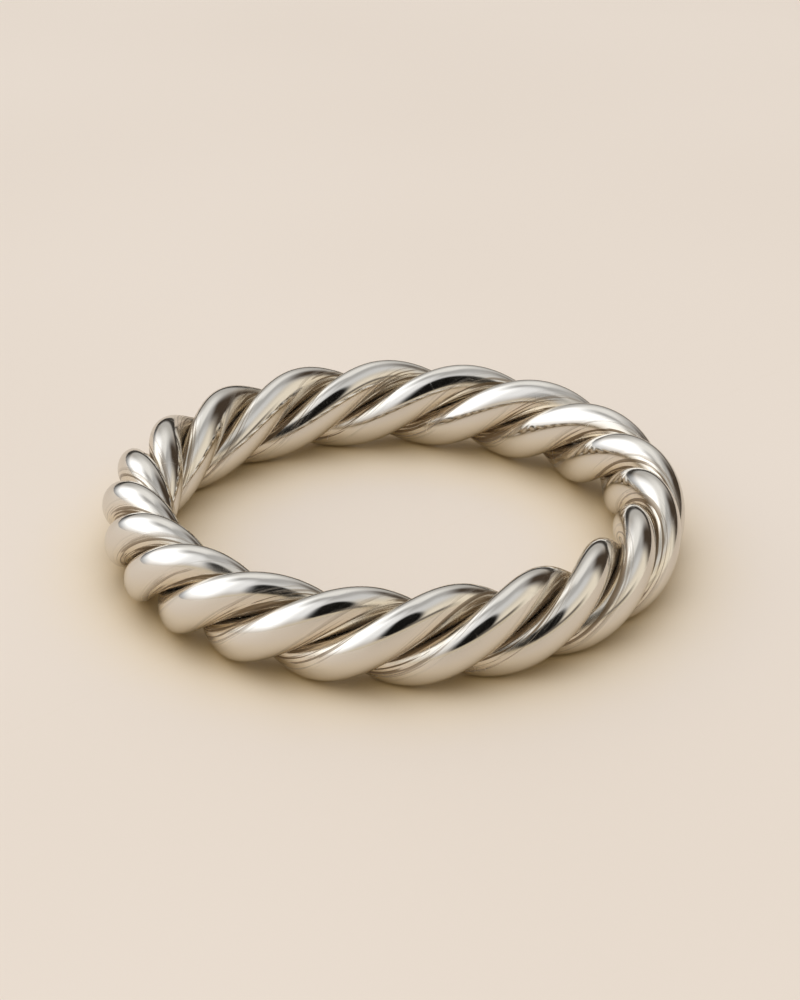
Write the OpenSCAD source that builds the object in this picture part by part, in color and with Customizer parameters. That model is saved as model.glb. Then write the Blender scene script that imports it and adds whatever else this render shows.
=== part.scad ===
// Finger ring of three round silver wires that are twisted together like rope, bent round and joined,
// and then pressed a little flat, so that the rope is higher along the finger than it is thick.
// The ring lies on its side: the finger hole runs along Z with its axis through the origin, and the
// lowest places of the twist touch Z = 0. The wires' ends meet on the +X side. Azimuth is the angle
// round the finger, counted from +X, and a wire's turn is its angle round the rope's own middle line,
// 0 where it faces out from the finger and 90 where it lies on top.

/* [Finger hole] */
// Width of the hole between the innermost places of the twist
hole_d = 17.3; // [16:0.1:22]

/* [Wire] */
// Diameter of each round wire before the rope is pressed
wire_d = 1.6; // [1.2:0.05:1.7]
// Clearance left where two neighbouring wires come closest
wire_gap = 0.03; // [0.02:0.01:0.1]
// Clearance left where the end of one wire meets the start of the next
end_gap = 0.03; // [0.02:0.01:0.2]

/* [Twist] */
// Ridges that show round the whole ring
ridges = 19; // [14:1:20]
// Ridges that the closer stretch holds beyond the even spacing of the rest
close_ridges = 1; // [0:0.5:1]
// Azimuth of the middle of the closer stretch
close_at = 197; // [60:1:300]
// Angle round the finger that the closer stretch takes up
close_span = 90; // [90:1:120]
// Turn at which the first wire starts
start_turn = 226; // [0:1:359]
// How far the twist runs ahead of its even run on one side of the ring, and lags on the other
sway = 22; // [0:1:30]
// Azimuth at which the twist runs furthest ahead
sway_at = 45; // [0:1:359]

/* [Pressing] */
// Share of the round rope's thickness, out from the finger, that is left once it is pressed
thickness_left = 0.79; // [0.7:0.01:1]
// Height along the finger that the rope has then, as a share of the round rope's
height_grown = 1.06; // [1:0.01:1.15]

/* [Smoothness] */
// Flat sides round each wire
wire_sides = 14; // [10:2:16]
// Straight lengths that follow a wire once round the finger
wire_steps = 180; // [120:10:180]

/* [Hidden] */
NODES = ["strand_1", "strand_2", "strand_3"];
strands = len(NODES);
wire_r = wire_d / 2;
// Turns that a wire makes in going once round the finger, outside the closer stretch and because of it
even_turns = (ridges - close_ridges) / strands;
close_turns = close_ridges / strands;
// Small step of azimuth that a wire's heading is taken over
look = 0.01;
// Rounds of the search for the closest place of two wires, which settles well within them
search_rounds = 16;

// Share of the closer stretch that lies before azimuth a, from 0 to 1
function close_share(a) = min(1, max(0, (a - close_at) / close_span + 0.5));

// Turn of wire k at azimuth a: an even twist that sways a little, with the closer stretch eased in and out
function turn(a, k) =
    let (s = close_share(a))
    start_turn + 360 * k / strands + even_turns * a + 360 * close_turns * s * s * (3 - 2 * s)
    + sway * cos(a - sway_at);

// Length of rope that holds one turn at azimuth a, measured where the wires lie nearest to the finger
function lay_length(a) =
    let (s = close_share(a),
         closer = 360 * close_turns * 6 * s * (1 - s) / close_span,
         swaying = sway * PI / 180 * sin(a - sway_at))
    PI * (hole_d + wire_d) / (even_turns + closer - swaying);

// Distance from the rope's middle line to a wire's, such that neighbouring wires clear each other.
// Where two wires come closest they stand `apart` degrees from each other round the rope, less than
// their even spacing by as much as the steepness of the helix asks, and the search narrows that down.
function wire_offset(lay, offset = wire_d * 0.6, apart = 105, rounds = search_rounds) =
    rounds == 0 ? offset :
    let (steep = pow(2 * PI * offset / lay, 2),
         nearer = (apart + 360 / strands - 180 / PI * steep * sin(apart)) / 2)
    wire_offset(lay, (wire_d + wire_gap) / sqrt(2 - 2 * cos(nearer) + steep * pow(sin(nearer), 2)),
                nearer, rounds - 1);

// Middle line of wire k at azimuth a in the round rope, which touches the finger hole and the ground all
// the way round
function wire_middle(a, k) =
    let (offset = wire_offset(lay_length(a)),
         rope_r = offset + wire_r,
         reach = hole_d / 2 + rope_r + offset * cos(turn(a, k)))
    [reach * cos(a), reach * sin(a), rope_r + offset * sin(turn(a, k))];

// Place that a point of the round rope is pressed to: nearer to the finger hole, and higher
function pressed(p) =
    let (reach = norm([p.x, p.y]),
         inward = (hole_d / 2 + (reach - hole_d / 2) * thickness_left) / reach)
    [p.x * inward, p.y * inward, p.z * height_grown];

// Azimuth that half of the end gap takes up, from the length of wire in a degree of azimuth at the joint
end_angle = end_gap / norm(pressed(wire_middle(look, 0)) - pressed(wire_middle(-look, 0))) * look;

function unit(v) = v / norm(v);

// Ring of pressed corners round wire k at azimuth a: a circle square to the wire in the round rope, the
// first corner facing out from the rope
function wire_section(a, k) =
    let (t = turn(a, k),
         middle = wire_middle(a, k),
         heading = unit(wire_middle(a + look, k) - wire_middle(a - look, k)),
         outward = [cos(t) * cos(a), cos(t) * sin(a), sin(t)],
         up = unit(outward - heading * (outward * heading)),
         across = cross(heading, up))
    [for (i = [0 : wire_sides - 1])
        pressed(middle + wire_r * (cos(360 * i / wire_sides) * up + sin(360 * i / wire_sides) * across))];

// One wire from its start to its end, as a tube of flat sides with a flat face at each end
module wire(k) {
    corners = [for (i = [0 : wire_steps]) each
        wire_section(end_angle + (360 - 2 * end_angle) * i / wire_steps, k)];
    sides = [for (row = [0 : wire_steps - 1], i = [0 : wire_sides - 1])
        let (here = row * wire_sides, next = here + wire_sides, j = (i + 1) % wire_sides)
        each [[here + i, next + i, here + j], [here + j, next + i, next + j]]];
    start_face = [for (i = [0 : wire_sides - 1]) i];
    end_face = [for (i = [1 : wire_sides]) len(corners) - i];
    polyhedron(points = corners, faces = concat(sides, [start_face, end_face]), convexity = 12);
}

module strand_1() {
    color("silver") wire(0);
}

module strand_2() {
    color("silver") wire(1);
}

module strand_3() {
    color("silver") wire(2);
}

strand_1();
strand_2();
strand_3();
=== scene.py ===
"""A rope twist finger ring in polished silver, lying on its side on a pale floor.

Three wires wind round one circle, and the end of each meets the start of the next. They
lie as round wires do, and the rope is then pressed a little thinner and higher. The shapes
are worked out here in metres by the same formula as in the part's source.
"""

import logging
import math
from dataclasses import dataclass, field
from enum import Enum

import bpy
import numpy as np
from mathutils import Matrix, Vector


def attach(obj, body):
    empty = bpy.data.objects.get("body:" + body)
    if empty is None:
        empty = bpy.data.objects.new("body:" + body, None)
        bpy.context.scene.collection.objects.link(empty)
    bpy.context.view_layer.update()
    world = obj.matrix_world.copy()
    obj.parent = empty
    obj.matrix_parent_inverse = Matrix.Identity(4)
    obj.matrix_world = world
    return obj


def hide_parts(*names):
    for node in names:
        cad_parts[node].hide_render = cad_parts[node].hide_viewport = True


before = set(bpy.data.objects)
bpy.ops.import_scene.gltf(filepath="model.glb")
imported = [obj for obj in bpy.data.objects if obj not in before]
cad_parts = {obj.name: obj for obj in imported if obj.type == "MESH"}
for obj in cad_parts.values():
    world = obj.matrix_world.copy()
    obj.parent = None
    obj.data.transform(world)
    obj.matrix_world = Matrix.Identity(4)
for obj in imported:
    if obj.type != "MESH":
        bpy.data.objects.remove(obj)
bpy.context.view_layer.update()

log = logging.getLogger("rope_twist_ring")

Colour = tuple[float, float, float]
Range = tuple[float, float]
Value = float | Colour | bpy.types.NodeSocket
MM = 0.001
IMAGE_HEIGHT_PX = 1000
IMAGE_WIDTH_PX = 800


class Piece(Enum):
    """The ring's pieces, by the name of the solid that each stands for."""

    FIRST = "strand_1"
    SECOND = "strand_2"
    THIRD = "strand_3"


WIRES = len(Piece)


class Interpolation(Enum):
    """How a value goes from one end of a range to the other."""

    EVEN = "LINEAR"
    EASED = "SMOOTHSTEP"


def unit(vectors: np.ndarray) -> np.ndarray:
    """Gives each vector in the last axis a length of one."""
    return vectors / np.linalg.norm(vectors, axis=-1, keepdims=True)


def along(vectors: np.ndarray, others: np.ndarray) -> np.ndarray:
    """The dot product of two arrays of vectors, with the last axis kept."""
    return (vectors * others).sum(-1, keepdims=True)


@dataclass(frozen=True)
class RopeLay:
    """How the three wires lie round each other and round the ring.

    Lengths are in metres and angles in degrees. Azimuth 0 is +X, and it grows towards +Y.
    The two guesses are where the search for the wires' offset starts: the offset as a share
    of the wire's width, and the angle between the points where two wires touch.
    The wires all but touch here, as the real ones do, where the solids stand 0.03 mm apart.
    """

    hole: float = 17.3 * MM
    wire: float = 1.6 * MM
    wire_gap: float = 0.004 * MM
    ridges: float = 19.0
    close_ridges: float = 1.0
    close_at: float = 197.0
    close_span: float = 90.0
    start_turn: float = 226.0
    sway: float = 22.0
    sway_at: float = 45.0
    thickness_left: float = 0.79
    height_grown: float = 1.06
    offset_guess: float = 0.6
    apart_guess: float = 105.0
    settle_rounds: int = 16

    @property
    def even_turns(self) -> float:
        """Turns of the twist in the whole circle, without the closer stretch."""
        return (self.ridges - self.close_ridges) / WIRES

    @property
    def close_turns(self) -> float:
        """Turns that the closer stretch adds."""
        return self.close_ridges / WIRES

    def eased(self, azimuth: np.ndarray) -> np.ndarray:
        """How far through the closer stretch each azimuth is, from 0 to 1."""
        return np.clip((azimuth - self.close_at) / self.close_span + 0.5, 0, 1)

    def turn(self, azimuth: np.ndarray, wire: int) -> np.ndarray:
        """The angle at which a wire stands in the rope's section.

        An even rise with azimuth, and on top of it a smooth step over the closer stretch
        and one slow sway round the ring.

        Args:
            azimuth: degrees round the ring.
            wire: 0, 1 or 2.

        Returns:
            Degrees from straight outwards, towards the top.
        """
        s = self.eased(azimuth)
        step = 360 * self.close_turns * s * s * (3 - 2 * s)
        swayed = self.sway * np.cos(np.radians(azimuth - self.sway_at))
        start = self.start_turn + 360 / WIRES * wire
        return start + self.even_turns * azimuth + step + swayed

    def offset(self, azimuth: np.ndarray) -> np.ndarray:
        """The distance from the rope's middle line to each wire's middle line.

        Two wires touch at the nearest points of two helices, a little aside of the same
        section, so the angle between those points and the offset are worked out in turns.

        Args:
            azimuth: degrees round the ring.

        Returns:
            The offset in metres.
        """
        s = self.eased(azimuth)
        closer = 360 * self.close_turns * 6 * s * (1 - s) / self.close_span
        swaying = math.radians(self.sway) * np.sin(np.radians(azimuth - self.sway_at))
        lay = math.pi * (self.hole + self.wire) / (self.even_turns + closer - swaying)
        offset = np.full_like(s, self.offset_guess * self.wire)
        apart = np.full_like(s, self.apart_guess)
        for _ in range(self.settle_rounds):
            steep = (2 * math.pi * offset / lay) ** 2
            aside = np.degrees(steep * np.sin(np.radians(apart)))
            nearer = (apart + 360 / WIRES - aside) / 2
            turned = np.radians(nearer)
            chord = np.sqrt(2 - 2 * np.cos(turned) + steep * np.sin(turned) ** 2)
            offset, apart = (self.wire + self.wire_gap) / chord, nearer
        return offset

    def middle(self, azimuth: np.ndarray, wire: int) -> np.ndarray:
        """Points on a wire's middle line.

        Args:
            azimuth: degrees round the ring.
            wire: 0, 1 or 2.

        Returns:
            One point for each azimuth, in metres.
        """
        offset = self.offset(azimuth)
        turn, round_ring = np.radians(self.turn(azimuth, wire)), np.radians(azimuth)
        rope = offset + self.wire / 2
        reach = self.hole / 2 + rope + offset * np.cos(turn)
        height = rope + offset * np.sin(turn)
        return np.stack([reach * np.cos(round_ring), reach * np.sin(round_ring), height], -1)

    def pressed(self, points: np.ndarray) -> np.ndarray:
        """Where the round rope's points lie once it is pressed.

        A point's way out from the finger hole is scaled down, and its height is scaled up.

        Args:
            points: points of the round rope, with coordinates in the last axis.

        Returns:
            The pressed points, in the same form.
        """
        reach = np.linalg.norm(points[..., :2], axis=-1, keepdims=True)
        hole = self.hole / 2
        inward = (hole + (reach - hole) * self.thickness_left) / reach
        return np.concatenate([points[..., :2] * inward, points[..., 2:] * self.height_grown], -1)

    def rope_line(self, azimuth: np.ndarray) -> np.ndarray:
        """Points on the rope's own middle line, which runs at its radius above the floor."""
        rope = self.offset(azimuth) + self.wire / 2
        reach, round_ring = self.hole / 2 + rope, np.radians(azimuth)
        return np.stack([reach * np.cos(round_ring), reach * np.sin(round_ring), rope], -1)


def closed_tube(name: str, rings: np.ndarray) -> bpy.types.Object:
    """A closed tube through rings of points, with a flat fan at each end.

    The side is one grid, smooth shaded: ring by ring along the tube and point by point
    round it. The two end fans are flat, and their edges are marked sharp.

    Args:
        name: the object's name.
        rings: points as an array of stations, corners and coordinates, in metres.

    Returns:
        The object, at the origin.
    """
    stations, corners, _ = rings.shape
    ends = rings[[0, -1]].mean(axis=1)
    points = np.concatenate([rings.reshape(-1, 3), ends])
    station = np.arange(stations - 1)[:, None] * corners
    corner = np.arange(corners)[None, :]
    beside = (corner + 1) % corners
    here, ahead = station + corner, station + corners + corner
    side = np.stack(
        [here, ahead, station + corners + beside, station + beside], -1
    ).reshape(-1, 4)
    first, last = stations * corners, stations * corners + 1
    ring, after = np.arange(corners), (np.arange(corners) + 1) % corners
    far = (stations - 1) * corners
    start_fan = np.stack([np.full(corners, first), ring, after], -1)
    end_fan = np.stack([np.full(corners, last), far + after, far + ring], -1)

    loops = np.concatenate([side.ravel(), start_fan.ravel(), end_fan.ravel()]).astype(np.int32)
    sizes = np.concatenate([np.full(len(side), 4), np.full(2 * corners, 3)])
    starts = np.concatenate([[0], np.cumsum(sizes)[:-1]]).astype(np.int32)
    mesh = bpy.data.meshes.new(name)
    mesh.vertices.add(len(points))
    mesh.vertices.foreach_set("co", points.astype(np.float32).ravel())
    mesh.loops.add(len(loops))
    mesh.loops.foreach_set("vertex_index", loops)
    mesh.polygons.add(len(sizes))
    mesh.polygons.foreach_set("loop_start", starts)
    smooth = np.concatenate([np.ones(len(side), bool), np.zeros(2 * corners, bool)])
    mesh.polygons.foreach_set("use_smooth", smooth)
    mesh.update(calc_edges=True)
    mesh.validate()

    pairs = np.empty(len(mesh.edges) * 2, np.int32)
    mesh.edges.foreach_get("vertices", pairs)
    pairs = pairs.reshape(-1, 2)
    at_end = ((pairs < corners).all(1)) | ((pairs >= far) & (pairs < first)).all(1)
    mesh.edges.foreach_set("use_edge_sharp", at_end)
    piece = bpy.data.objects.new(name, mesh)
    bpy.context.scene.collection.objects.link(piece)
    return piece


class NodeSheet:
    """A material's or a world's nodes, with short calls for the kinds used here."""

    def __init__(self, tree: bpy.types.NodeTree) -> None:
        """Keeps the tree and empties it."""
        self.tree = tree
        self.tree.nodes.clear()

    def node(self, kind: str, **settings: object) -> bpy.types.Node:
        """Adds a node.

        Args:
            kind: the node's type.
            settings: the node's own properties, by name.

        Returns:
            The node.
        """
        made = self.tree.nodes.new(kind)
        for key, value in settings.items():
            setattr(made, key, value)
        return made

    def feed(self, socket: bpy.types.NodeSocket, value: Value) -> None:
        """Links a socket to another, or sets its number or colour.

        Args:
            socket: the input that is fed.
            value: a number, a colour or an output.
        """
        if isinstance(value, bpy.types.NodeSocket):
            self.tree.links.new(value, socket)
        elif socket.type == "RGBA":
            socket.default_value = (*value, 1.0)
        else:
            socket.default_value = value

    def math(self, operation: str, *values: Value) -> bpy.types.NodeSocket:
        """One sum on numbers or sockets.

        Args:
            operation: the Math node's operation.
            values: numbers or sockets, in the node's order.

        Returns:
            The result's socket.
        """
        made = self.node("ShaderNodeMath", operation=operation)
        for socket, value in zip(made.inputs, values):
            self.feed(socket, value)
        return made.outputs[0]

    def spread(
        self,
        value: Value,
        start: float,
        end: float,
        low: Value = 0.0,
        high: Value = 1.0,
        kind: Interpolation = Interpolation.EASED,
    ) -> bpy.types.NodeSocket:
        """Maps a value from one range to another.

        Args:
            value: a number or a socket.
            start: where the result is low.
            end: where the result is high.
            low: the result at the start, a number or a socket.
            high: the result at the end, a number or a socket.
            kind: how it goes between.

        Returns:
            The result's socket.
        """
        made = self.node("ShaderNodeMapRange", interpolation_type=kind.value, clamp=True)
        for name, part in zip(
            ("Value", "From Min", "From Max", "To Min", "To Max"), (value, start, end, low, high)
        ):
            self.feed(made.inputs[name], part)
        return made.outputs[0]

    def mix(self, share: Value, first: Value, second: Value) -> bpy.types.NodeSocket:
        """Mixes two colours.

        Args:
            share: how much of the second there is, a number or a socket.
            first: a colour or a socket.
            second: a colour or a socket.

        Returns:
            The mixed colour's socket.
        """
        made = self.node("ShaderNodeMix", data_type="RGBA", clamp_factor=True)
        colours = [s for s in made.inputs if s.type == "RGBA"]
        self.feed(made.inputs[0], share)
        for socket, value in zip(colours, (first, second)):
            self.feed(socket, value)
        return next(s for s in made.outputs if s.type == "RGBA")

    def noise(
        self, where: bpy.types.NodeSocket, scale: float, detail: float, stretch: float = 0.0
    ) -> bpy.types.NodeSocket:
        """Fine random unevenness.

        Args:
            where: the coordinates' socket.
            scale: how many grains there are to the metre.
            detail: how many finer layers are added.
            stretch: how much the finer layers are bent.

        Returns:
            A value about 0.5.
        """
        made = self.node("ShaderNodeTexNoise")
        self.feed(made.inputs["Vector"], where)
        self.feed(made.inputs["Scale"], scale)
        self.feed(made.inputs["Detail"], detail)
        self.feed(made.inputs["Distortion"], stretch)
        return made.outputs[0]

    def bump(
        self, height: bpy.types.NodeSocket, depth: float, under: bpy.types.NodeSocket | None = None
    ) -> bpy.types.NodeSocket:
        """Relief from a height.

        Args:
            height: the height's socket, from 0 to 1.
            depth: how deep 1 is, in metres.
            under: a normal that the relief lies on.

        Returns:
            The normal's socket.
        """
        made = self.node("ShaderNodeBump")
        self.feed(made.inputs["Strength"], 1.0)
        self.feed(made.inputs["Distance"], depth)
        self.feed(made.inputs["Height"], height)
        if under is not None:
            self.feed(made.inputs["Normal"], under)
        return made.outputs[0]

    def glow(self, colour: Value, strength: Value = 1.0) -> bpy.types.NodeSocket:
        """Light that comes from far off.

        Args:
            colour: its colour.
            strength: how strong it is.

        Returns:
            The light's socket.
        """
        made = self.node("ShaderNodeBackground")
        self.feed(made.inputs["Color"], colour)
        self.feed(made.inputs["Strength"], strength)
        return made.outputs[0]

    def choose(
        self,
        chosen: bpy.types.NodeSocket,
        usual: bpy.types.NodeSocket,
        other: bpy.types.NodeSocket,
    ) -> bpy.types.NodeSocket:
        """Picks one of two lights for each ray. The other isn't worked out, which saves time.

        Args:
            chosen: 1 where the ray sees the other light, and 0 where it sees the usual one.
            usual: the usual light.
            other: the other light.

        Returns:
            The picked light's socket.
        """
        made = self.node("ShaderNodeMixShader")
        for socket, value in zip(made.inputs, (chosen, usual, other)):
            self.feed(socket, value)
        return made.outputs[0]


@dataclass(frozen=True)
class PolishedSilver:
    """Mirror polished silver, as a jeweller's wheel leaves it.

    The crests are the brightest. Down in the grooves the wheel reached less, so the metal is duller
    there. Its colour there is painted shade: warmer and darker in patches, with dark, half matt
    streaks along the wire that stand in for the next wire's shaded reflection. Fine polishing lines
    run along each wire too, and it has a few hairline scratches.

    Depths are in metres, and a grain is how many there are to the metre. A range says
    between which values of a pattern its effect comes in.
    """

    name: str = "polished_silver"
    colour: Colour = (0.83, 0.795, 0.735)
    groove_shade_colour: Colour = (0.84, 0.76, 0.63)
    streak_shade: Colour = (0.22, 0.155, 0.09)
    streak_shade_metallic: float = 0.42
    roughness: float = 0.07
    groove_roughness: float = 0.24
    cloud_depth: float = 2.4e-6
    line_depth: float = 0.14e-6
    scratch_depth: float = 0.5e-6
    scratch_dullness: float = 0.14
    drawn_out: float = 26.0
    line_grain: float = 900.0
    streak_grain: float = 260.0
    cloud_grain: float = 620.0
    mottle_grain: float = 1900.0
    scratch_cells: float = 620.0
    scratch_patches: float = 1400.0
    line_dullness: float = 0.05
    wear_dullness: float = 0.025
    least_groove_patch: float = 0.55
    streak_range: Range = (0.495, 0.55)
    groove_patch_range: Range = (0.25, 0.7)
    wear_range: Range = (0.3, 0.75)
    line_range: Range = (0.45, 0.8)
    scratch_range: Range = (0.011, 0.003)
    patch_range: Range = (0.5, 0.6)

    def scratches(self, sheet: NodeSheet, place: bpy.types.NodeSocket) -> bpy.types.NodeSocket:
        """Sparse hairline scratches: the borders of random cells, kept only in patches.

        Args:
            sheet: the metal's nodes.
            place: the coordinates' socket.

        Returns:
            A socket that is 1 in a scratch and 0 beside it.
        """
        cells = sheet.node("ShaderNodeTexVoronoi", feature="DISTANCE_TO_EDGE")
        sheet.feed(cells.inputs["Vector"], place)
        cells.inputs["Scale"].default_value = self.scratch_cells
        hairs = sheet.spread(cells.outputs["Distance"], *self.scratch_range)
        areas = sheet.noise(place, self.scratch_patches, detail=1)
        patches = sheet.spread(areas, *self.patch_range)
        return sheet.math("MULTIPLY", hairs, patches)

    def material(self) -> bpy.types.Material:
        """Makes the material from the wire's own length and groove values.

        Returns:
            The material, which any strand can wear.
        """
        made = bpy.data.materials.new(self.name)
        made.use_nodes = True
        sheet = NodeSheet(made.node_tree)
        place = sheet.node("ShaderNodeTexCoord").outputs["Object"]
        lengthways = sheet.node("ShaderNodeUVMap", uv_map="wire_lay").outputs[0]
        groove = sheet.node("ShaderNodeAttribute", attribute_name="groove").outputs["Fac"]

        drawn = sheet.node("ShaderNodeMapping", vector_type="POINT")
        sheet.feed(drawn.inputs["Vector"], lengthways)
        drawn.inputs["Scale"].default_value = (1.0, self.drawn_out, 1.0)
        lines = sheet.noise(drawn.outputs[0], self.line_grain, detail=5)
        streaks = sheet.noise(drawn.outputs[0], self.streak_grain, detail=3)
        cloud = sheet.noise(place, self.cloud_grain, detail=2)
        mottle = sheet.noise(place, self.mottle_grain, detail=4, stretch=0.4)

        # Painted shade in the grooves, in patches: the colour turns warmer and darker, and dark
        # lengthways streaks stand in for the next wire's shaded reflection. The same patches also
        # make the grooves duller.
        patchy = sheet.spread(mottle, *self.groove_patch_range, self.least_groove_patch, 1.0)
        groove_dull_and_shade = sheet.math("MULTIPLY", groove, patchy)
        shade_streaked = sheet.math("MULTIPLY", groove, sheet.spread(streaks, *self.streak_range))
        tint = sheet.mix(groove_dull_and_shade, self.colour, self.groove_shade_colour)
        tint = sheet.mix(shade_streaked, tint, self.streak_shade)
        worn = sheet.spread(mottle, *self.wear_range, 0.0, self.wear_dullness)
        drawn_dull = self.roughness + self.line_dullness
        polish = sheet.spread(lines, *self.line_range, self.roughness, drawn_dull)
        shine = sheet.math("ADD", polish, worn)
        unpolished = sheet.math("MULTIPLY", groove_dull_and_shade, self.groove_roughness - self.roughness)
        dull = sheet.math("ADD", shine, unpolished)
        scratched = self.scratches(sheet, place)
        dull = sheet.math("MULTIPLY_ADD", scratched, self.scratch_dullness, dull)
        waved = sheet.bump(cloud, self.cloud_depth)
        lined = sheet.bump(lines, self.line_depth, waved)
        cut = sheet.bump(sheet.math("SUBTRACT", 1.0, scratched), self.scratch_depth, lined)

        surface = sheet.node("ShaderNodeBsdfPrincipled")
        # The painted shade streaks are also less metallic, so they stay dark.
        streak_metallic = sheet.spread(shade_streaked, 0, 1, 1.0, self.streak_shade_metallic, Interpolation.EVEN)
        sheet.feed(surface.inputs["Metallic"], streak_metallic)
        sheet.feed(surface.inputs["Base Color"], tint)
        sheet.feed(surface.inputs["Roughness"], dull)
        sheet.feed(surface.inputs["Normal"], cut)
        out = sheet.node("ShaderNodeOutputMaterial")
        sheet.feed(out.inputs["Surface"], surface.outputs[0])
        return made


@dataclass(frozen=True)
class PaleFloor:
    """A plain pale floor with a very faint unevenness and a soft sheen.

    Where the ring stands close over it, shadow is painted into the floor's colour by how much of
    what lies above is open: golden at first, then brown right under the metal. The three shares are
    how much of what lies above is open where the gold begins, where it is full and where the brown
    is full.
    The metal mirrors the floor a little dimmer and warmer than it is seen.
    """

    name: str = "pale_floor"
    colour: Colour = (0.90, 0.815, 0.735)
    shade: Colour = (0.82, 0.73, 0.64)
    shadow_gold: Colour = (0.90, 0.78, 0.62)
    contact_shadow: Colour = (0.62, 0.45, 0.21)
    contact_shadow_reach: float = 4.2 * MM
    mirrored_tint: Colour = (0.42, 0.325, 0.21)
    mirrored_share: float = 0.3
    drift_grain: float = 26.0
    open_share: float = 0.95
    shadow_gold_share: float = 0.70
    contact_shadow_share: float = 0.15
    roughness: float = 0.5
    gloss: float = 0.4
    sheen: float = 0.08
    sheen_roughness: float = 0.4

    def material(self) -> bpy.types.Material:
        """Makes the floor's material.

        Returns:
            The material.
        """
        made = bpy.data.materials.new(self.name)
        made.use_nodes = True
        sheet = NodeSheet(made.node_tree)
        place = sheet.node("ShaderNodeTexCoord").outputs["Object"]
        drift = sheet.noise(place, self.drift_grain, detail=1)
        openness = sheet.node("ShaderNodeAmbientOcclusion", samples=12)
        openness.inputs["Distance"].default_value = self.contact_shadow_reach
        plain = sheet.mix(drift, self.colour, self.shade)
        sky, even = openness.outputs["AO"], Interpolation.EVEN
        # Painted shadow: the floor's colour turns golden, then brown, as less of what lies above is
        # open.
        shaded = sheet.spread(sky, self.open_share, self.shadow_gold_share, kind=even)
        covered = sheet.spread(sky, self.shadow_gold_share, self.contact_shadow_share, kind=even)
        shadowed = sheet.mix(covered, sheet.mix(shaded, plain, self.shadow_gold), self.contact_shadow)
        mirrored = sheet.node("ShaderNodeLightPath").outputs["Is Glossy Ray"]
        tinted = sheet.math("MULTIPLY", mirrored, self.mirrored_share)
        surface = sheet.node("ShaderNodeBsdfPrincipled")
        sheet.feed(surface.inputs["Base Color"], sheet.mix(tinted, shadowed, self.mirrored_tint))
        surface.inputs["Roughness"].default_value = self.roughness
        surface.inputs["Specular IOR Level"].default_value = self.gloss
        surface.inputs["Sheen Weight"].default_value = self.sheen
        surface.inputs["Sheen Roughness"].default_value = self.sheen_roughness
        out = sheet.node("ShaderNodeOutputMaterial")
        sheet.feed(out.inputs["Surface"], surface.outputs[0])
        return made


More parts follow.
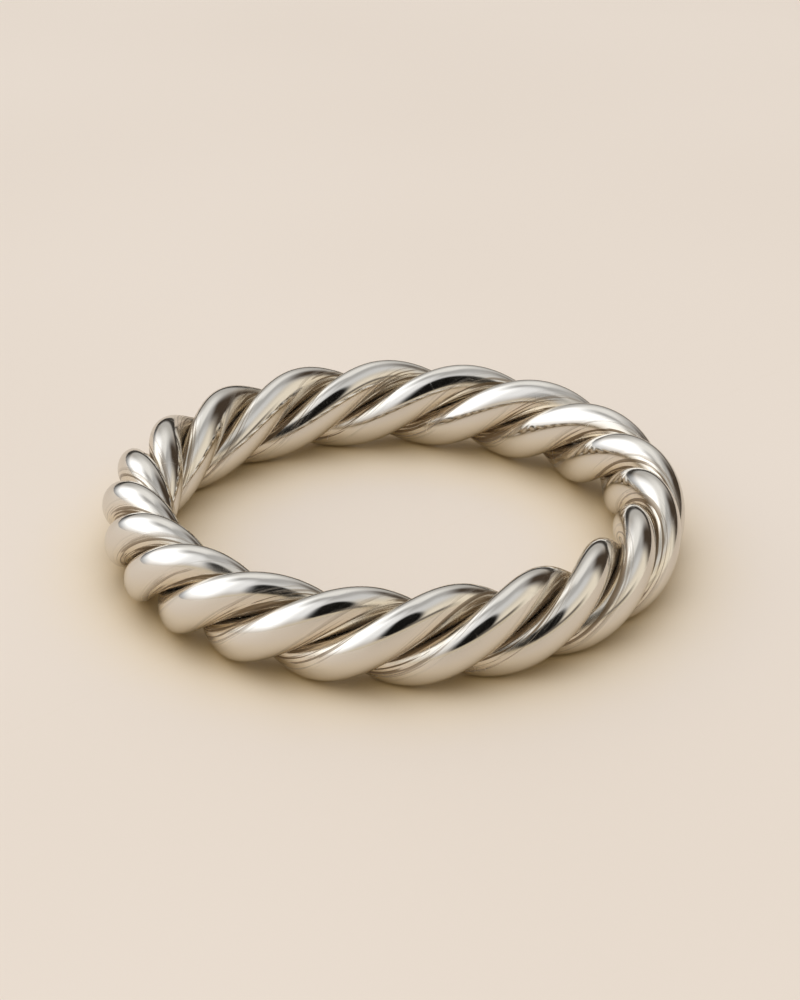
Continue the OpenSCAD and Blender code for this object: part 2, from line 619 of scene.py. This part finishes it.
@dataclass
class Strand:
    """One wire of the rope, from one end round the ring to the other.

    The seam is where the grid round the wire starts, on the side towards the rope's middle.
    A groove begins at one share of the rope's radius and is full a little further in.
    """

    piece: Piece
    number: int
    lay: RopeLay
    stations: int = 1176
    corners: int = 72
    seam: float = 180.0
    near_step: float = 0.01
    groove_edge: float = 0.945
    groove_fall: float = 0.215
    body: bpy.types.Object | None = None

    def azimuths(self) -> np.ndarray:
        """The azimuth of each station along the wire, in degrees."""
        return np.linspace(0, 360, self.stations)

    def rings(self) -> np.ndarray:
        """The round wire's surface as a function of azimuth and the angle round the wire.

        At each azimuth the wire's heading comes from two near points of its middle line.
        Up is the way out of the rope, squared to the heading, and across is square to both.
        A surface point is the middle plus the wire's radius times the cosine of the angle
        along up, plus its sine along across.

        Returns:
            An array of stations, corners and coordinates, in metres.
        """
        azimuth = self.azimuths()
        ahead = self.lay.middle(azimuth + self.near_step, self.number)
        behind = self.lay.middle(azimuth - self.near_step, self.number)
        heading = unit(ahead - behind)
        turn, round_ring = np.radians(self.lay.turn(azimuth, self.number)), np.radians(azimuth)
        outward = np.stack(
            [np.cos(turn) * np.cos(round_ring), np.cos(turn) * np.sin(round_ring), np.sin(turn)], -1
        )
        up = unit(outward - heading * along(outward, heading))
        across = np.cross(heading, up)
        around = np.linspace(self.seam, self.seam + 360, self.corners, endpoint=False)
        angle = np.radians(around)[None, :, None]
        swept = np.cos(angle) * up[:, None] + np.sin(angle) * across[:, None]
        return self.lay.middle(azimuth, self.number)[:, None] + self.lay.wire / 2 * swept

    def groove(self, rings: np.ndarray) -> np.ndarray:
        """How deep each point lies in a groove, from 0 on a crest to 1 in the rope's middle.

        It is the point's distance from the rope's middle line as a share of the rope's
        radius, turned round and eased.

        Args:
            rings: the round wire's points.

        Returns:
            One value for each point, station by station.
        """
        azimuth = self.azimuths()
        rope = self.lay.offset(azimuth) + self.lay.wire / 2
        away = np.linalg.norm(rings - self.lay.rope_line(azimuth)[:, None], axis=-1)
        deep = np.clip((self.groove_edge - away / rope[:, None]) / self.groove_fall, 0, 1)
        return (deep * deep * (3 - 2 * deep)).ravel()

    def lay_map(self, rings: np.ndarray) -> np.ndarray:
        """Lengths along and round the wire for each corner of each face, in metres.

        Args:
            rings: the surface's points.

        Returns:
            Pairs of lengths, face corner by face corner, with the end fans at the ends.
        """
        middle = rings.mean(axis=1)
        steps = np.linalg.norm(np.diff(middle, axis=0), axis=1)
        length = np.concatenate([[0], np.cumsum(steps)])
        length += self.number * length[-1]
        width = math.pi * self.lay.wire / self.corners
        station = np.arange(self.stations - 1)[:, None]
        corner = np.arange(self.corners)[None, :]
        ends = [(0, 0), (1, 0), (1, 1), (0, 1)]
        u = np.stack([length[station + a] + 0 * corner for a, _ in ends], -1)
        v = np.stack([(corner + b) * width + 0 * station for _, b in ends], -1)
        side = np.stack([u, v], -1).reshape(-1, 2)
        corner_piece = np.array([[0.0, 0.0], [width, 0.0], [width, width]])
        cap = np.tile(corner_piece, (2 * self.corners, 1))
        return np.concatenate([side, cap])

    def build(self) -> None:
        """Makes the wire's mesh, with its groove values and its lengthways map."""
        rings = self.rings()
        self.body = closed_tube(f"{self.piece.value}_wire", self.lay.pressed(rings))
        mesh = self.body.data
        groove = mesh.attributes.new("groove", "FLOAT", "POINT")
        depths = np.append(self.groove(rings), [1, 1])
        groove.data.foreach_set("value", depths.astype(np.float32))
        lay_map = mesh.uv_layers.new(name="wire_lay")
        lay_map.data.foreach_set("uv", self.lay_map(rings).astype(np.float32).ravel())

    def dress(self, finish: bpy.types.Material) -> None:
        """Gives the wire its finish and sets it on the ring in place of its plain solid.

        Args:
            finish: the metal's material.
        """
        self.body.data.materials.append(finish)
        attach(self.body, "root")
        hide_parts(self.piece.value)
        log.info("%s: %d faces", self.body.name, len(self.body.data.polygons))


@dataclass
class TwistedRope:
    """The whole ring: three wires of one lay."""

    lay: RopeLay = field(default_factory=RopeLay)
    finish: PolishedSilver = field(default_factory=PolishedSilver)
    strands: list[Strand] = field(default_factory=list)

    def build(self) -> None:
        """Makes the three wires."""
        for number, piece in enumerate(Piece):
            strand = Strand(piece, number, self.lay)
            strand.build()
            self.strands.append(strand)

    def dress(self) -> None:
        """Gives all three wires the same polished metal."""
        metal = self.finish.material()
        for strand in self.strands:
            strand.dress(metal)


@dataclass
class Floor:
    """The pale floor that the ring lies on, in metres. It is no part of the ring."""

    half_width: float = 4.0
    finish: PaleFloor = field(default_factory=PaleFloor)
    body: bpy.types.Object | None = None

    def build(self) -> None:
        """Makes one flat square at height 0."""
        w = self.half_width
        mesh = bpy.data.meshes.new("floor")
        mesh.from_pydata([(-w, -w, 0), (w, -w, 0), (w, w, 0), (-w, w, 0)], [], [(0, 1, 2, 3)])
        self.body = bpy.data.objects.new("floor", mesh)
        bpy.context.scene.collection.objects.link(self.body)

    def dress(self) -> None:
        """Gives the floor its finish."""
        self.body.data.materials.append(self.finish.material())


@dataclass(frozen=True)
class SoftCard:
    """A soft-edged panel far off: a lamp if it is bright, a dark flag if it isn't.

    Angles are in degrees. Azimuth 0 is towards the camera's side, -Y, and 90 is +X. A card
    is square-cornered, or oval, and it fades out over its soft width and height.
    """

    name: str
    azimuth: float
    elevation: float
    half_width: float
    half_height: float
    soft_width: float
    soft_height: float
    colour: Colour
    oval: bool = False


@dataclass
class StudioLight:
    """Soft light from all round, and the large cards that the polished metal mirrors.

    The metal mirrors a grey room with cards in it. Everything else is lit by a plain room
    without the cards: mostly from above, and a little more from the lamp's side. The pairs
    of elevations say where one tone of the room goes over into the next.
    """

    low: Colour = (0.50, 0.42, 0.33)
    middle: Colour = (0.44, 0.43, 0.425)
    high: Colour = (0.46, 0.463, 0.47)
    seen: Colour = (0.74, 0.66, 0.57)
    side_light: Colour = (0.60, 0.585, 0.57)
    top_light: Colour = (1.32, 1.29, 1.25)
    lean: float = 0.34
    lean_azimuth: float = -100.0
    low_to_middle: Range = (0.0, 35.0)
    middle_to_high: Range = (35.0, 80.0)
    side_to_top: Range = (20.0, 70.0)
    cards: tuple[SoftCard, ...] = (
        SoftCard("far grey", 180, 25, 30, 22, 30, 24, (0.50, 0.49, 0.475)),
        SoftCard("far glow", -165, 62, 42, 24, 46, 34, (0.90, 0.90, 0.895)),
        SoftCard("far edge", 180, 4, 75, 9, 30, 8, (0.05, 0.045, 0.04)),
        SoftCard("upper glow", 15, 54, 80, 14, 40, 20, (0.68, 0.69, 0.71)),
        SoftCard("cream fill", 70, 8, 36, 30, 26, 36, (0.88, 0.81, 0.69)),
        SoftCard("far dark", 124, 25, 18, 25, 24, 24, (0.06, 0.043, 0.03)),
        SoftCard("near dark", 5, 28, 29, 26, 12, 8, (0.004, 0.0035, 0.003), oval=True),
        SoftCard("dark tail", 44, 11, 26, 5, 26, 6, (0.15, 0.13, 0.11)),
        SoftCard("near bounce", 5, -8, 60, 16, 40, 4, (0.62, 0.54, 0.42)),
        SoftCard("lamp wing", -47, 42, 26, 28, 22, 34, (0.94, 0.96, 1.00)),
        SoftCard("left lamp", -95, 31, 42, 25, 34, 28, (1.50, 1.54, 1.61)),
    )

    def card_share(
        self,
        sheet: NodeSheet,
        card: SoftCard,
        azimuth: bpy.types.NodeSocket,
        rise: bpy.types.NodeSocket,
    ) -> bpy.types.NodeSocket:
        """How much of a card there is in each direction, from 0 to 1.

        An oval's edge is where the distances from its centre, each as a share of the half
        size, have squares that add up to one.

        Args:
            sheet: the world's nodes.
            card: the card.
            azimuth: the direction's azimuth in degrees.
            rise: its elevation in degrees.

        Returns:
            The share's socket.
        """
        aside = sheet.math("SUBTRACT", azimuth, card.azimuth)
        aside = sheet.math("ABSOLUTE", sheet.math("WRAP", aside, 180.0, -180.0))
        above = sheet.math("ABSOLUTE", sheet.math("SUBTRACT", rise, card.elevation))
        if card.oval:
            halves = ((aside, card.half_width), (above, card.half_height))
            shares = (sheet.math("DIVIDE", away, half) for away, half in halves)
            squares = (sheet.math("POWER", share, 2.0) for share in shares)
            reach = sheet.math("SQRT", sheet.math("ADD", *squares))
            soft = (card.soft_width / card.half_width + card.soft_height / card.half_height) / 4
            return sheet.spread(reach, 1 + soft, 1 - soft)
        wide, high = card.soft_width / 2, card.soft_height / 2
        across = sheet.spread(aside, card.half_width + wide, card.half_width - wide)
        upright = sheet.spread(above, card.half_height + high, card.half_height - high)
        return sheet.math("MULTIPLY", across, upright)

    def build(self) -> None:
        """Makes the world: a colour for each direction, card over card."""
        world = bpy.data.worlds.new("studio")
        world.use_nodes = True
        bpy.context.scene.world = world
        sheet = NodeSheet(world.node_tree)
        way = sheet.node("ShaderNodeTexCoord").outputs["Generated"]
        parts = sheet.node("ShaderNodeSeparateXYZ")
        sheet.feed(parts.inputs[0], way)
        x, y, z = parts.outputs
        nearer = sheet.math("MULTIPLY", y, -1.0)
        azimuth = sheet.math("DEGREES", sheet.math("ARCTAN2", x, nearer))
        rise = sheet.math("DEGREES", sheet.math("ARCSINE", z))

        mirrored = sheet.mix(sheet.spread(rise, *self.low_to_middle), self.low, self.middle)
        mirrored = sheet.mix(sheet.spread(rise, *self.middle_to_high), mirrored, self.high)
        for card in self.cards:
            share = self.card_share(sheet, card, azimuth, rise)
            mirrored = sheet.mix(share, mirrored, card.colour)
            log.info("studio card: %s", card.name)

        upward = sheet.spread(rise, *self.side_to_top)
        lighting = sheet.mix(upward, self.side_light, self.top_light)
        turned = sheet.math("RADIANS", sheet.math("SUBTRACT", azimuth, self.lean_azimuth))
        flatness = sheet.math("COSINE", sheet.math("ARCSINE", z))
        level = sheet.math("MULTIPLY", sheet.math("COSINE", turned), flatness)
        strength = sheet.math("MULTIPLY_ADD", level, self.lean, 1.0)

        light_path = sheet.node("ShaderNodeLightPath").outputs
        unscattered = sheet.math("LESS_THAN", light_path["Diffuse Depth"], 0.5)
        glossy = sheet.math("MULTIPLY", light_path["Is Glossy Ray"], unscattered)
        camera = light_path["Is Camera Ray"]
        scattered = sheet.choose(glossy, sheet.glow(lighting, strength), sheet.glow(mirrored))
        surface = sheet.choose(camera, scattered, sheet.glow(self.seen))
        out = sheet.node("ShaderNodeOutputWorld")
        sheet.feed(out.inputs["Surface"], surface)


@dataclass(frozen=True)
class Viewpoint:
    """The camera, as the photograph was taken.

    Angles are in degrees, the picture's measures in pixels of an 800 by 1000 image, the
    sensor's width in millimetres and the other lengths in metres.
    """

    elevation: float = 27.4
    distance: float = 99.1 * MM
    look_height: float = 1.803 * MM
    focal_px: float = 2500.0
    centre_px: tuple[float, float] = (394.9, 510.7)
    roll: float = 0.165
    sensor: float = 36.0
    nearest: float = 5 * MM
    farthest: float = 20.0

    def build(self) -> None:
        """Makes the scene's camera: it looks along +Y, down at the ring."""
        rise, roll = math.radians(self.elevation), math.radians(self.roll)
        back = Vector((0, -math.cos(rise), math.sin(rise)))
        side = Vector((1, 0, 0))
        top = back.cross(side)
        right = side * math.cos(roll) + top * math.sin(roll)
        up = top * math.cos(roll) - side * math.sin(roll)
        eye = Vector((0, 0, self.look_height)) + back * self.distance
        lens = bpy.data.cameras.new("camera")
        lens.sensor_width = self.sensor
        lens.lens = self.focal_px * self.sensor / IMAGE_HEIGHT_PX
        lens.clip_start, lens.clip_end = self.nearest, self.farthest
        lens.shift_x = (IMAGE_WIDTH_PX / 2 - self.centre_px[0]) / IMAGE_HEIGHT_PX
        lens.shift_y = (self.centre_px[1] - IMAGE_HEIGHT_PX / 2) / IMAGE_HEIGHT_PX
        camera = bpy.data.objects.new("camera", lens)
        camera.matrix_world = Matrix(
            [[right[i], up[i], back[i], eye[i]] for i in range(3)] + [[0, 0, 0, 1]]
        )
        bpy.context.scene.collection.objects.link(camera)
        bpy.context.scene.camera = camera


def main() -> None:
    """Builds and dresses the ring, then its floor, light and camera."""
    logging.basicConfig(level=logging.INFO, format="%(name)s: %(message)s")
    ring = TwistedRope()
    ring.build()
    ring.dress()
    floor = Floor()
    floor.build()
    floor.dress()
    StudioLight().build()
    Viewpoint().build()
    bpy.context.scene.view_settings.view_transform = "Standard"


if __name__ == "__main__":
    main()
